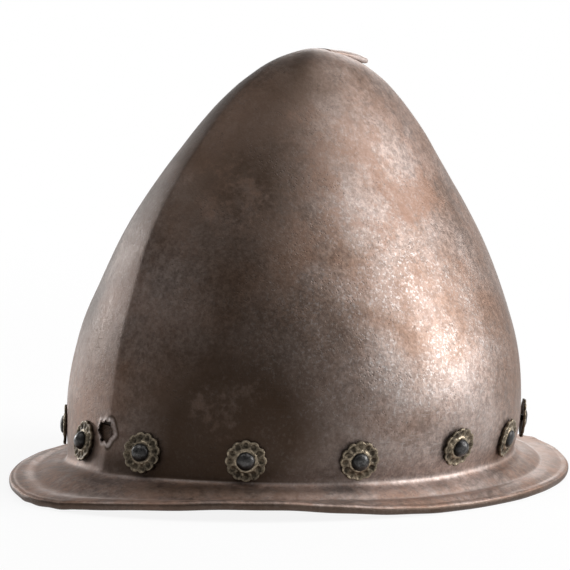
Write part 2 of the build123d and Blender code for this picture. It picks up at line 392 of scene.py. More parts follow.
def pitting_group() -> bpy.types.NodeTree:
    """Corrosion pits: small round hollows of two sizes, thinned out in patches.

    Returns:
        A group that gives the pits' mask and a height that falls in them.
    """
    numbers = [("Scale", 420.0), ("Amount", 0.5)]
    graph, at, sockets, end = new_group("pitting", numbers, ["Pits", "Height"])
    near = graph.cells(at, sockets["Scale"])
    wide = graph.cells(at, graph.times(sockets["Scale"], 0.37))
    patch = graph.ramp(graph.noise(at, 70.0, 4.0, 0.6), 0.42, 0.62)
    reach = graph.times(graph.plus(patch, 0.35), sockets["Amount"])
    small = graph.ramp(graph.minus(reach, near), 0.0, 0.22)
    large = graph.ramp(graph.minus(graph.times(reach, 0.55), wide), 0.0, 0.2)
    pits = graph.most(small, large)
    graph.tree.links.new(pits, end.inputs["Pits"])
    height = graph.minus(graph.noise(at, 650.0, 3.0, 0.6), pits)
    graph.tree.links.new(height, end.inputs["Height"])
    return graph.tree


def scratch_group() -> bpy.types.NodeTree:
    """Fine scratches: long thin ridges of stretched noise in three directions.

    Returns:
        A group that gives the scratches' mask.
    """
    graph, at, sockets, end = new_group("scratches", [("Amount", 0.5)], ["Scratches"])
    ways = (
        ((0.0, 0.3, 0.75), (9, 900, 9)),
        ((0.0, 0.0, 0.8), (700, 700, 6)),
        ((0.5, 0.2, 0.1), (8, 8, 800)),
    )
    lines = [graph.noise(graph.stretch(at, along, turn), 1.0, 2.0, 0.5) for turn, along in ways]
    first, second, third = (graph.ramp(line, 0.69, 0.74) for line in lines)
    found = graph.most(graph.most(first, second), third)
    where = graph.ramp(graph.noise(at, 45.0, 3.0), 0.45, 0.6)
    masked = graph.times(graph.times(found, where), sockets["Amount"])
    graph.tree.links.new(masked, end.inputs["Scratches"])
    return graph.tree


def grime_group() -> bpy.types.NodeTree:
    """Cloudy patches: broad noise broken up by fine noise.

    Returns:
        A group that gives the patches' mask.
    """
    numbers = [("Scale", 30.0), ("Spread", 0.5), ("Fine", 400.0)]
    graph, at, sockets, end = new_group("grime", numbers, ["Mask"])
    broad = graph.noise(at, sockets["Scale"], 5.0, 0.6)
    fine = graph.noise(at, sockets["Fine"], 3.0, 0.7)
    both = graph.plus(broad, graph.times(graph.minus(fine, 0.5), 0.45))
    over = graph.plus(graph.minus(both, 1.0), sockets["Spread"])
    graph.tree.links.new(graph.ramp(over, -0.09, 0.09), end.inputs["Mask"])
    return graph.tree


class Groups:
    """The shared effects, each built once."""

    def __init__(self) -> None:
        """Builds the three groups."""
        self.pitting = pitting_group()
        self.scratches = scratch_group()
        self.grime = grime_group()

    def place(self, graph: Graph, tree: bpy.types.NodeTree, **values: float) -> bpy.types.Node:
        """Places a group in a material.

        Args:
            graph: the material's graph.
            tree: the group.
            values: its numbers, by their names in small letters.

        Returns:
            The group's node.
        """
        node = graph.tree.nodes.new("ShaderNodeGroup")
        node.node_tree = tree
        for key, value in values.items():
            node.inputs[key.capitalize()].default_value = value
        return node


def rgb(red: float, green: float, blue: float) -> Colour:
    """An opaque colour."""
    return (red, green, blue, 1.0)


def new_material(name: str) -> tuple[bpy.types.Material, Graph, bpy.types.Node, Socket]:
    """Starts a material.

    Args:
        name: the material's name.

    Returns:
        The material, its graph, its Principled shader and its Object coordinates.
    """
    material = bpy.data.materials.new(name)
    material.use_nodes = True
    graph = Graph(material.node_tree)
    shader = material.node_tree.nodes["Principled BSDF"]
    return material, graph, shader, graph.add("TexCoord").outputs["Object"]


def join_inputs(graph: Graph, shader: bpy.types.Node, **sockets: Socket) -> None:
    """Links sockets to the shader's inputs, whose names are written with an underscore."""
    for key, socket in sockets.items():
        graph.tree.links.new(socket, shader.inputs[key.replace("_", " ").title()])


@dataclass(frozen=True)
class BrownedPlate:
    """Old browned iron: brown and mauve grey, rust clouds, dark patches that are partly soot and
    partly painted shade, specks of bare metal that are partly painted sheen, and pale marks that
    are partly painted highlight.
    """

    brown: Colour = rgb(0.188, 0.124, 0.094)
    mauve: Colour = rgb(0.292, 0.236, 0.214)
    rust: Colour = rgb(0.320, 0.166, 0.102)
    # Dark colour of soot and painted shade.
    smoke_and_shade: Colour = rgb(0.054, 0.032, 0.020)
    # Bare metal, and the painted sheen where the lamp's highlight falls.
    wear_and_sheen: Colour = rgb(0.436, 0.412, 0.400)
    # Pale colour of rubbed edges and of the painted highlights on the brim.
    pale: Colour = rgb(0.720, 0.640, 0.610)
    pit: Colour = rgb(0.060, 0.045, 0.038)
    inner: Colour = rgb(0.075, 0.058, 0.050)
    dark_grain: Colour = rgb(0.36, 0.35, 0.34)
    dark_mottle: Colour = rgb(0.36, 0.34, 0.33)
    light_grain: Colour = rgb(0.66, 0.65, 0.64)
    roughness: float = 0.5
    metallic: float = 0.85

    def build(self, groups: Groups) -> bpy.types.Material:
        """Builds the material in layers, from the browning up to the bare metal and the pale marks,
        which are partly painted highlight.

        Args:
            groups: the shared effects.

        Returns:
            The material.
        """
        material, graph, shader, at = new_material("browned_plate")
        fine = graph.ramp(graph.noise(at, 560.0, 4.0, 0.75), 0.38, 0.62)
        specks = graph.ramp(graph.noise(at, 620.0, 4.0, 0.7), 0.50, 0.66)
        pitting = groups.place(graph, groups.pitting, scale=620.0, amount=0.27)
        scratches = groups.place(graph, groups.scratches, amount=0.08).outputs[0]
        flecks = groups.place(graph, groups.grime, scale=36.0, spread=0.50, fine=330.0).outputs[0]
        veil = groups.place(graph, groups.grime, scale=24.0, spread=0.60, fine=240.0).outputs[0]
        rusty = graph.times(graph.mark("rusty"), flecks)
        # Darkening that is partly soot and partly painted shade, strongest where the plate faces
        # away from the lamps.
        smoke_and_shade_mark = graph.times(graph.mark("smoke_and_shade_mark"), graph.plus(graph.times(veil, 0.3), 0.72))
        bare = self.bare_metal(graph, at, specks, scratches)
        # Pale marks: rubbed edges of the tear, and painted highlight along the brim's fillet,
        # hollow and knee.
        wear_and_highlight = graph.mark("wear_and_highlight")
        colour = self.browning(graph, at, fine)
        # The dark layer is partly painted shade; the bare-metal and pale layers are partly painted
        # sheen and highlight.
        layers = (
            (graph.times(rusty, 0.55), self.rust),
            (smoke_and_shade_mark, self.smoke_and_shade),
            (graph.times(pitting.outputs["Pits"], 0.45), self.pit),
            (graph.calc("MINIMUM", bare, 1.0), self.wear_and_sheen),
            (graph.times(wear_and_highlight, graph.plus(graph.times(specks, 0.4), 0.6)), self.pale),
            (graph.times(graph.mark("inside"), 0.8), self.inner),
        )
        for share, layer in layers:
            colour = graph.blend(share, colour, layer)
        rough = graph.minus(self.roughness, graph.times(bare, 0.12))
        rough = graph.plus(rough, graph.times(rusty, 0.08))
        rough = graph.plus(rough, graph.times(graph.minus(fine, 0.5), 0.08))
        metal = graph.minus(self.metallic, graph.times(rusty, 0.3))
        metal = graph.times(metal, graph.minus(1.0, graph.times(wear_and_highlight, 0.85)))
        dents = graph.times(graph.noise(at, 150.0, 3.0, 0.6), 1.2)
        relief = graph.plus(pitting.outputs["Height"], dents)
        normal = graph.bump(0.24, 0.0004, graph.minus(relief, graph.times(scratches, 0.3)))
        join_inputs(
            graph, shader, base_color=colour, roughness=rough, metallic=metal, normal=normal
        )
        return material

    def browning(self, graph: Graph, at: Socket, fine: Socket) -> Socket:
        """The plate's clouded brown ground with its grain.

        Args:
            graph: the material's graph.
            at: its coordinates.
            fine: the finest grain.

        Returns:
            The colour.
        """
        cloud = graph.ramp(graph.noise(at, 15.0, 6.0, 0.62), 0.34, 0.66)
        mottle = graph.ramp(graph.noise(at, 240.0, 4.0, 0.65), 0.39, 0.61)
        grain = graph.blend(fine, self.dark_grain, self.light_grain)
        spots = graph.blend(mottle, self.dark_mottle, self.light_grain)
        colour = graph.blend(cloud, self.brown, self.mauve)
        colour = graph.blend(0.70, colour, grain, "OVERLAY")
        return graph.blend(0.55, colour, spots, "OVERLAY")

    def bare_metal(self, graph: Graph, at: Socket, specks: Socket, scratches: Socket) -> Socket:
        """How far the browning is rubbed off: specks in patches, scratches, and rubbed strokes; the
        specks lie thickest where the lamp's highlight falls, so they are partly painted sheen.

        Args:
            graph: the material's graph.
            at: its coordinates.
            specks: fine specks.
            scratches: their mask.

        Returns:
            The share of bare metal.
        """
        patchy = graph.ramp(graph.noise(at, 32.0, 5.0, 0.65), 0.34, 0.62)
        shine = graph.times(patchy, graph.plus(graph.times(specks, 0.70), 0.20))
        strokes = graph.ramp(self.strokes(graph, at), 0.50, 0.68, 0.7)
        rubbed = graph.times(graph.mark("rubbed"), strokes)
        rubbed = graph.times(rubbed, graph.ramp(graph.noise(at, 90.0, 4.0, 0.6), 0.40, 0.62))
        bare = graph.most(graph.times(shine, graph.mark("wear_and_sheen")), graph.times(scratches, 0.4))
        outside = graph.minus(1.0, graph.times(graph.mark("inside"), 0.85))
        return graph.times(graph.most(bare, rubbed), outside)

    def strokes(self, graph: Graph, at: Socket) -> Socket:
        """Noise drawn out into short level and upright strokes, as a cleaning cloth leaves them.

        Args:
            graph: the material's graph.
            at: its coordinates.

        Returns:
            The strokes' noise.
        """
        level = graph.noise(graph.stretch(at, (150, 150, 900)), 1.0, 4.0, 0.7)
        upright = graph.noise(graph.stretch(at, (900, 900, 200)), 1.0, 4.0, 0.7)
        return graph.most(level, upright)


@dataclass(frozen=True)
class PlainMetal:
    """A metal of one kind: a dark colour, which is also painted shade in its hollows and under its
    rim, a paler one where it is raised, which is partly painted highlight, and small pits.
    """

    name: str
    dark: Colour
    light: Colour
    wear_and_sheen: Colour
    roughness: float
    metallic: float
    bump: float = 0.3
    relief_mark: str = ""

    def build(self, groups: Groups) -> bpy.types.Material:
        """Builds the material: clouds of both colours, a paler colour where the piece marks it
        raised, partly rubbed metal and partly painted highlight, the low parts left dark as painted
        shade, and pits.

        Args:
            groups: the shared effects.

        Returns:
            The material.
        """
        material, graph, shader, at = new_material(self.name)
        cloud = groups.place(graph, groups.grime, scale=90.0, spread=0.5, fine=900.0).outputs[0]
        colour = graph.blend(cloud, self.dark, self.light)
        pitting = groups.place(graph, groups.pitting, scale=900.0, amount=0.36)
        colour = graph.blend(graph.times(pitting.outputs["Pits"], 0.6), colour, self.dark)
        rough = graph.plus(graph.times(graph.noise(at, 600.0), 0.3), self.roughness - 0.15)
        # Raised parts turn paler, partly rubbed metal and partly painted highlight; low parts keep
        # the dark colour as painted shade.
        if self.relief_mark:
            broken = graph.ramp(graph.noise(at, 700.0, 3.0, 0.7), 0.3, 0.6)
            broken = graph.times(graph.mark(self.relief_mark), broken)
            colour = graph.blend(broken, colour, self.wear_and_sheen)
            rough = graph.minus(rough, graph.times(broken, 0.12))
        normal = graph.bump(self.bump, 0.0002, pitting.outputs["Height"])
        join_inputs(graph, shader, base_color=colour, roughness=rough, normal=normal)
        shader.inputs["Metallic"].default_value = self.metallic
        return material


@dataclass(frozen=True)
class StrapLeather:
    """Old dark strap leather: a cellular grain with creases across it."""

    deep: Colour = rgb(0.045, 0.024, 0.014)
    warm: Colour = rgb(0.150, 0.082, 0.046)

    def build(self, groups: Groups) -> bpy.types.Material:
        """Builds the material from the grain and the dirt.

        Args:
            groups: the shared effects.

        Returns:
            The material.
        """
        material, graph, shader, at = new_material("strap_leather")
        grain = graph.ramp(graph.cells(at, 1100.0, "DISTANCE_TO_EDGE"), 0.0, 0.3)
        dirt = groups.place(graph, groups.grime, scale=60.0, spread=0.5, fine=500.0).outputs[0]
        creases = graph.ramp(graph.noise(graph.stretch(at, (260, 260, 30)), 1.0, 3.0), 0.52, 0.66)
        colour = graph.blend(graph.times(grain, 0.8), self.deep, self.warm)
        colour = graph.blend(graph.times(dirt, 0.5), colour, self.deep)
        normal = graph.bump(0.5, 0.0003, graph.minus(grain, graph.times(creases, 0.8)))
        rough = graph.plus(graph.times(dirt, 0.2), 0.55)
        join_inputs(graph, shader, base_color=colour, roughness=rough, normal=normal)
        return material


# The helmet


@dataclass(frozen=True)
class HelmetForm:
    """The helmet's outer form, from the same sizes and shares as its CAD source."""

    brim_length: float = 338.6
    brim_width: float = 252.6
    brim_tip_radius: float = 52.0
    bowl_half_length: float = 126.0
    bowl_half_width: float = 113.0
    bowl_height: float = 202.5
    foot_height: float = 15.2
    roll_radius: float = 2.3
    rest_flat: float = 0.2
    ridge_softness: float = 1.2
    bowl_shares: tuple = (
        (0.0, 1.041, 0.994, 0.938, 0.16),
        (0.055, 1.022, 0.992, 0.978, 0.18),
        (0.142, 1.003, 0.984, 0.998, 0.20),
        (0.266, 0.974, 0.967, 0.963, 0.20),
        (0.415, 0.906, 0.925, 0.835, 0.20),
        (0.564, 0.811, 0.837, 0.671, 0.20),
        (0.713, 0.653, 0.692, 0.498, 0.20),
        (0.838, 0.473, 0.541, 0.354, 0.20),
        (0.927, 0.299, 0.387, 0.230, 0.20),
        (0.967, 0.210, 0.271, 0.158, 0.20),
        (0.988, 0.129, 0.171, 0.096, 0.20),
        (0.9965, 0.075, 0.108, 0.057, 0.20),
        (1.0, 0.016, 0.056, 0.023, 0.20),
    )
    brim_shares: tuple = ((1.0, 1.0), (0.58, 0.66), (0.27, 0.375), (0.11, 0.24), (0.03, 0.13))

    @property
    def roll_height(self) -> float:
        """Height of the turned edge's middle line."""
        return self.roll_radius - self.rest_flat

    def bowl_levels(self) -> Array:
        """Levels of the bowl, from its foot to its apex.

        Returns:
            Height, front, rear, width, keel and outward share of each level.
        """
        shares = np.array(self.bowl_shares)
        length, width = self.bowl_half_length, self.bowl_half_width
        scaled = shares * (self.bowl_height, length, length, width, 1.0)
        levels = np.hstack([scaled, np.zeros((len(shares), 1))])
        levels[:, 0] += self.foot_height
        return levels

    def brim_levels(self) -> Array:
        """Levels of the brim, from the turned edge up to the foot of the bowl.

        Returns:
            The same values for each level.
        """
        foot = self.bowl_levels()[0]
        edge_height = self.roll_height + 0.95 * self.roll_radius
        fall = self.foot_height - edge_height
        levels = [
            (self.foot_height - fall * down, *foot[1:5], out) for out, down in self.brim_shares
        ]
        return np.vstack([levels, foot])

    def edge_line(self, angles: Array) -> tuple[Array, Array]:
        """The turned edge's middle line, an oval of four tangent arcs: the point whose normal faces
        the way that the angle gives on a stretched circle.

        Args:
            angles: round the helmet from its front.

        Returns:
            Level points, and the level normals there.
        """
        half_length = self.brim_length / 2 - self.roll_radius
        half_width = self.brim_width / 2 - self.roll_radius
        tip = self.brim_tip_radius
        side = (half_length**2 + half_width**2 - 2 * half_length * tip) / (2 * (half_width - tip))
        tip_centre, side_centre = half_length - tip, side - half_width
        sine, cosine = np.abs(np.sin(angles)), np.abs(np.cos(angles))
        facing = np.arctan2(half_length / half_width * sine, cosine)
        pointed = facing < math.atan2(side_centre, tip_centre)
        across = np.where(pointed, tip * np.sin(facing), side * np.sin(facing) - side_centre)
        along = np.where(pointed, tip_centre + tip * np.cos(facing), side * np.cos(facing))
        left, front = np.sign(np.sin(angles)), -np.sign(np.cos(angles))
        points = np.stack([across * left, along * front], axis=-1)
        return points, np.stack([np.sin(facing) * left, np.cos(facing) * front], axis=-1)

    def grid(self, levels: Array, angles: Array) -> Array:
        """Points of every level at every angle: an ellipse whose sides are drawn in to a ridge,
        blended with the turned edge by the level's outward share.

        Args:
            levels: rows as bowl_levels gives them.
            angles: round the helmet from its front.

        Returns:
            Points, one row for each level.
        """
        height, front, rear, width, keel, outward = (column[:, None] for column in levels.T)
        ridge = keel / (1 + keel)
        inside = np.clip(1 - (1 - ridge**2) * np.cos(angles) ** 2, 0, None)
        across = width * ((1 + keel) * np.sqrt(inside) - keel)
        across = np.maximum(across, 0)
        half = (rear + front) / 2
        lean = half * ridge / (np.maximum(width, 1e-6) * (1 + keel) * (1 - ridge**2))
        soft = np.minimum(self.ridge_softness, 0.5 * width)
        rounding = lean * (np.hypot(across, soft) - across)
        along = (rear - front) / 2 - half * np.cos(angles) + np.sign(np.cos(angles)) * rounding
        across = across * np.sign(np.sin(angles))
        edge, _ = self.edge_line(angles)
        x = across + (edge[:, 0] - across) * outward
        y = along + (edge[:, 1] - along) * outward
        return np.stack([x, y, np.broadcast_to(height, x.shape)], axis=-1)

    def knots(self, levels: Array) -> Array:
        """How far each level lies along the mean profile.

        Args:
            levels: rows as bowl_levels gives them.

        Returns:
            One distance for each level.
        """
        corners = self.grid(levels, np.array([0.0, math.pi / 2, math.pi]))
        reach = (np.abs(corners[:, 0, 1]) + np.abs(corners[:, 2, 1]) + 2 * corners[:, 1, 0]) / 4
        return np.concatenate([[0.0], np.cumsum(np.hypot(np.diff(reach), np.diff(levels[:, 0])))])

    def station(self, degrees: float, height: float, side: int) -> tuple[Array, Array]:
        """Where a rivet stands on the bowl.

        Args:
            degrees: angle from the front.
            height: above the floor.
            side: 1 on the wearer's left, -1 on the right.

        Returns:
            Its place, and the three axes there as rows: level, upwards along the plate, outwards.
        """
        turn, step = math.radians(degrees), math.radians(0.5)
        levels = self.bowl_levels()
        rows = smooth_rows(levels[:, 0], levels, np.array([height, height - 1.6]))
        plain = HelmetForm(ridge_softness=0.0)
        points = plain.grid(rows, np.array([turn, turn + step]))
        origin, beside, below = points[0, 0], points[0, 1], points[1, 0]
        level = (beside - origin) / np.linalg.norm(beside - origin)
        out = np.cross(level, origin - below)
        out /= np.linalg.norm(out)
        axes = np.stack([level, np.cross(out, level), out])
        if side < 0:
            mirror = np.array([-1, 1, 1])
            origin, axes = origin * mirror, axes * mirror
            axes[0] *= -1
        return origin, axes


@dataclass
class Skull:
    """Bowl, ridge, brim and turned edge as one closed plate, torn through at the front ridge.

    Lifts, sags and bulge are bells round the helmet: millimetres, then the middle and the reach in
    degrees. The tear's corners are shares of its size.
    """

    form: HelmetForm
    finish: bpy.types.Material
    columns: int = 400
    thickness: float = 1.3
    edge_lifts: tuple = ((5.5, 43, 22), (0.9, 165, 14))
    foot_sags: tuple = ((-5.6, -46, 27), (-1.4, 8, 18), (-0.9, 84, 16))
    bulge: tuple = (0.9, -44, 22)
    knee_depth: float = 1.5
    valley_depth: float = 2.6
    crown_flat: float = 1.7
    torn_places: tuple = (4, 30)
    lip_height: float = 1.0
    lip_reach: float = 3.0
    tear_offset: float = -2.8
    tear_height: float = 32.9
    tear_size: tuple = (12.0, 11.6)
    tear_corners: tuple = (
        (-0.52, 0.08), (-0.42, 0.36), (-0.20, 0.28), (-0.06, 0.46), (0.10, 0.36),
        (0.30, 0.40), (0.42, 0.14), (0.52, -0.10), (0.36, -0.26), (0.24, -0.50),
        (0.02, -0.40), (-0.16, -0.52), (-0.30, -0.28), (-0.46, -0.14),
    )
    # Patches of soot and painted shade; the largest darkens the lower side that is turned to the
    # camera, away from the lamps.
    smoke_and_shade: tuple = (
        (1.1, 36, 30, 34, 46), (0.6, 40, 22, 120, 60), (0.45, 12, 22, 155, 45),
        (0.4, 132, 22, 90, 80), (0.3, 50, 60, 205, 22), (0.35, 61, 5, 86, 12),
        (0.5, -6, 34, 18, 6),
    )
    rust: tuple = (
        (0.75, 48, 42, 165, 42), (0.7, 92, 26, 138, 36), (0.4, -28, 30, 60, 60),
        (-0.25, 84, 26, 80, 36),
    )
    # Patches of bare metal; the first lies where the right lamp's highlight falls, so it is partly
    # painted sheen.
    sheen_and_wear_patches: tuple = ((0.9, 84, 30, 84, 66), (0.25, -20, 22, 120, 80))
    rubbing: tuple = ((1.0, 86, 22, 48, 42),)
    # A groove drawn in colour alone: painted shade inside it, and a painted highlight on its side
    # towards the front.
    gouge_shade: tuple = ((1.0, 79.6, 0.32, 42.0, 3.4),)
    gouge_highlight: tuple = ((0.6, 78.8, 0.32, 42.0, 3.4),)

    def angles(self) -> Array:
        """Angles of the columns, closer together at the front and rear ridges."""
        even = np.linspace(-math.pi, math.pi, self.columns, endpoint=False)
        return even - 0.25 * np.sin(2 * even)

    def edge_lift(self, angles: Array) -> Array:
        """How far the bent brim's edge stands above its rest, low waves on it included.

        Args:
            angles: of the columns.

        Returns:
            One lift for each column.
        """
        degrees = np.degrees(angles)
        low_waves = 0.12 * (1 + np.sin(31 * angles)) * (1 - bell(degrees, 108, 26))
        return bells(degrees, self.edge_lifts) + low_waves

    def foot_rise(self, angles: Array, places: Array) -> Array:
        """How far the foot of the bowl sags, fading out above and below it.

        Args:
            angles: of the columns.
            places: distance of each row from the foot.

        Returns:
            The height to add to each point.
        """
        rise = bells(np.degrees(angles), self.foot_sags)
        below = 1 - ease(places / places[0], 0, 0.8)
        fade = np.where(places > 0, 1 - ease(places, 0, 34), below)
        return fade[:, None] * rise

    def brim_shape(self, angles: Array, outward: Array) -> Array:
        """What hammering left on the brim: a valley in front that turns to a knee further back.

        Args:
            angles: of the columns.
            outward: share of the way from the foot to the turned edge, one for each row.

        Returns:
            The height to add to each point.
        """
        aft = ease(np.abs(np.degrees(angles)), 35, 75)
        knee = self.knee_depth * np.exp(-(np.hypot(outward - 0.56, 0.02) - 0.02) / 0.13)
        valley = self.valley_depth * bell(outward, 0.6, 0.2)
        return -(knee * aft + valley * (1 - aft)) * (outward > 0)

    def outer_rows(self) -> tuple[Array, Array]:
        """Rows of levels from the turned edge to the apex, closer where the form turns or is torn.

        Returns:
            The levels, and each row's distance from the foot, negative on the brim.
        """
        brim, bowl = self.form.brim_levels(), self.form.bowl_levels()
        brim_knots, bowl_knots = self.form.knots(brim), self.form.knots(bowl)
        brim_places = np.linspace(0, brim_knots[-1], 26)[:-1]
        top = bowl_knots[-1]
        spans = ((0, 6, 8), (6, 31, 42), (31, top - 36, 43), (top - 36, top, 24))
        parts = [np.linspace(a, b, n, endpoint=False) for a, b, n in spans]
        bowl_places = np.concatenate(parts + [[top]])
        brim_rows = smooth_rows(brim_knots, brim, brim_places)
        rows = np.vstack([brim_rows, smooth_rows(bowl_knots, bowl, bowl_places)])
        return rows, np.concatenate([brim_places - brim_knots[-1], bowl_places])

    def fillet(self, grid: Array, places: Array) -> Array:
        """Rounds the crease at the foot: rows near it move to their neighbours' mean, three times.

        Args:
            grid: points, changed in place.
            places: distance of each row from the foot.

        Returns:
            The grid.
        """
        share = bell(places, 0.0, 4.5)[1:-1, None, None] * 0.5
        for _ in range(3):
            middle = (grid[:-2] + grid[2:]) / 2
            grid[1:-1] += (middle - grid[1:-1]) * share
        return grid

    def roll(self, angles: Array) -> Array:
        """The turned edge: a circle carried along the oval, from where the plate comes in on top,
        over the outside, to the underside, flattened where it stands.

        Args:
            angles: of the columns.

        Returns:
            Its points, one row for each step round the circle.
        """
        line, normal = self.form.edge_line(angles)
        around = np.radians(np.linspace(114, -156, 19))[:, None]
        beaten = 0.035 * (1 + np.sin(23 * angles) * np.sin(7 * angles + 1))
        radius = self.form.roll_radius * (1 - beaten)
        out = radius * np.cos(around)
        height = self.form.roll_height + radius * np.sin(around) + self.edge_lift(angles)
        x = line[:, 0] + normal[:, 0] * out
        y = line[:, 1] + normal[:, 1] * out
        return np.stack([x, y, np.maximum(height, 0.0)], axis=-1)

    def outside(self, angles: Array) -> tuple[Array, Array]:
        """The plate's outside from the turned edge to the apex: the form, bent, sagged, hammered
        and made uneven.

        Args:
            angles: of the columns.

        Returns:
            The points, and each row's distance from the foot.
        """
        rows, places = self.outer_rows()
        grid = self.fillet(self.form.grid(rows, angles), places)
        outward = np.clip(places / places[0], 0, 1)[:, None]
        grid[..., 2] += self.edge_lift(angles) * outward**1.3 + self.foot_rise(angles, places)
        grid[..., 2] += self.brim_shape(angles, outward)
        grid += (self.roll(angles)[0] - grid[0]) * ease(outward, 0.66, 1.0)[..., None] ** 1.6
        uneven = waves(grid, 62.0, 4) * 0.34 + waves(grid, 21.0, 9) * 0.09
        below_apex = 1 - ease(places, places[-1] - 30, places[-1] - 4)
        fade = (ease(places, 14.0, 55.0) * below_apex)[:, None]
        up = (bell(places, 26, 20) - bell(places, 2, 8))[:, None]
        bulge = bells(np.degrees(angles), [self.bulge]) * up
        grid += grid_normals(grid) * (uneven * fade + bulge)[..., None]
        right_front = ease(-grid[..., 0] - grid[..., 1], -6, 16)
        grid[..., 2] -= self.crown_flat * ease(grid[..., 2], 198, 213) * right_front
        return grid, places

    def tear_distance(self, grid: Array) -> tuple[Array, Array, Array]:
        """How far each point lies from the tear's outline, seen from the front, negative inside it.

        Args:
            grid: points.

        Returns:
            The distance, and the nearest point of the outline across and up.
        """
        middle = (self.tear_offset, self.tear_height)
        corners = np.array(self.tear_corners) * self.tear_size + middle
        following = np.roll(corners, -1, axis=0)
        side = following - corners
        flat = grid[..., [0, 2]][..., None, :]
        share = np.clip(((flat - corners) * side).sum(-1) / (side**2).sum(-1), 0, 1)
        nearest = corners + share[..., None] * side
        gap = np.linalg.norm(flat - nearest, axis=-1)
        pick = gap.argmin(axis=-1)
        found = np.take_along_axis(nearest, pick[..., None, None].repeat(2, -1), axis=-2)[..., 0, :]
        above = (corners[:, 1] > flat[..., 1]) != (following[:, 1] > flat[..., 1])
        with np.errstate(divide="ignore", invalid="ignore"):
            cross = corners[:, 0] + (flat[..., 1] - corners[:, 1]) * side[:, 0] / side[:, 1]
        front = grid[..., 1] < 0
        inside = ((above & (flat[..., 0] < cross)).sum(-1) % 2).astype(bool) & front
        least = gap.min(axis=-1)
        distance = np.where(inside, -least, np.where(front, least, 99.0))
        return distance, found[..., 0], found[..., 1]

    def build(self) -> bpy.types.Object:
        """Builds the plate: outside, roll and inside as one closed sheet, the tear cut through it.

        Returns:
            The skull.
        """
        angles = self.angles()
        outer, places = self.outside(angles)
        normals = grid_normals(outer)
        order = np.arange(len(places))
        torn = (places > self.torn_places[0]) & (places < self.torn_places[1])
        pick = np.flatnonzero(torn | (order % 3 == 0) | (order == order[-1]))
        pick = pick[pick > 2]
        distance, near_x, near_z = self.tear_distance(outer)
        lip = self.lip_height * np.exp(-np.clip(distance, 0, None) / 0.6)
        lip *= (0.6 + 0.9 * waves(outer, 2.6, 3)) * (distance < self.lip_reach)
        outer = outer + normals * lip[..., None]
        thickness = self.thickness * (1 - 0.45 * (distance[pick] < 1.2))
        inner = outer[pick] - normals[pick] * thickness[..., None]
        outer, quads_out = self.cut(outer, distance, near_x, near_z)
        inner, quads_in = self.cut(inner, distance[pick], near_x[pick], near_z[pick])
        roll = self.roll(angles)[1:]
        sheet = np.concatenate([outer[::-1], roll, inner])
        faces = self.joined_faces(len(sheet), len(outer), len(roll), pick, quads_out, quads_in)
        faces = faces.tolist() + pole_fans(len(sheet), self.columns)
        poles = [outer[-1].mean(axis=0), inner[-1].mean(axis=0)]
        outward = np.clip(places / places[0], 0, 1)
        outward = np.concatenate([outward[::-1], np.ones(len(roll)), outward[pick]])
        marks = {
            name: np.append(values.reshape(-1), [values[0].mean(), values[-1].mean()])
            for name, values in self.marks(
                sheet, angles, len(outer), len(roll), outward[:, None]
            ).items()
        }
        points = np.vstack([sheet.reshape(-1, 3), poles])
        return make_piece(
            "skull_plate", points, faces, self.finish, marks=marks, replaces=["skull"]
        )

    def cut(
        self, grid: Array, distance: Array, near_x: Array, near_z: Array
    ) -> tuple[Array, Array]:
        """Marks the quads that the tear removes, and moves the corners on its border onto its
        outline.

        Args:
            grid: points.
            distance: of each point from the tear's outline.
            near_x: nearest point of the outline, across.
            near_z: nearest point of the outline, up.

        Returns:
            The moved points, and for each quad whether it stays.
        """
        beside = np.roll(distance, -1, axis=1)
        centre = (distance[:-1] + distance[1:] + beside[:-1] + beside[1:]) / 4
        gone = centre < 0
        touched = np.zeros(distance.shape, dtype=int)
        for down in (0, 1):
            for right in (0, 1):
                touched[down : len(gone) + down] += np.roll(gone, right, axis=1)
        border = (touched > 0) & (touched < 4)
        moved = grid.copy()
        towards = np.abs(near_x) - np.abs(grid[..., 0])
        moved[..., 1] += np.where(border, 0.16 * towards, 0)
        moved[..., 0] = np.where(border, near_x, grid[..., 0])
        moved[..., 2] = np.where(border, near_z, grid[..., 2])
        return moved, ~gone

    def joined_faces(
        self,
        rows: int,
        outer_rows: int,
        roll_rows: int,
        pick: Array,
        keep_out: Array,
        keep_in: Array,
    ) -> Array:
        """Quads of the whole sheet without the torn ones, and the tear's cut edge.

        Args:
            rows: rows of the sheet.
            outer_rows: how many of them are the outside, from the apex down.
            roll_rows: how many follow for the roll.
            pick: which outside rows the inside has.
            keep_out: for each quad of the outside, from the edge up, whether it stays.
            keep_in: the same for the inside.

        Returns:
            The quads.
        """
        keep = np.ones((rows - 1, self.columns), dtype=bool)
        keep[: outer_rows - 1] = keep_out[::-1]
        keep[outer_rows + roll_rows :] = keep_in
        quads = ring_faces(rows, self.columns).reshape(rows - 1, self.columns, 4)[keep]
        index = np.arange(rows * self.columns).reshape(rows, self.columns)
        index_out, index_in = index[:outer_rows][::-1], index[outer_rows + roll_rows :]
        row, column = np.nonzero(~keep_in)
        beside = (column + 1) % self.columns
        sides = (
            ((-1, 0), ((0, 0), (0, 1))),
            ((1, 0), ((1, 1), (1, 0))),
            ((0, -1), ((1, 0), (0, 0))),
            ((0, 1), ((0, 1), (1, 1))),
        )
        walls = []
        for (ahead, sideways), ends in sides:
            other = keep_in[row + ahead, (column + sideways) % self.columns]
            a, b = (
                ((row + down)[other], np.where(across, beside, column)[other])
                for down, across in ends
            )
            outer_a, outer_b = index_out[pick[a[0]], a[1]], index_out[pick[b[0]], b[1]]
            walls.append(np.stack([outer_a, outer_b, index_in[b], index_in[a]], axis=-1))
        return np.vstack([quads] + walls)

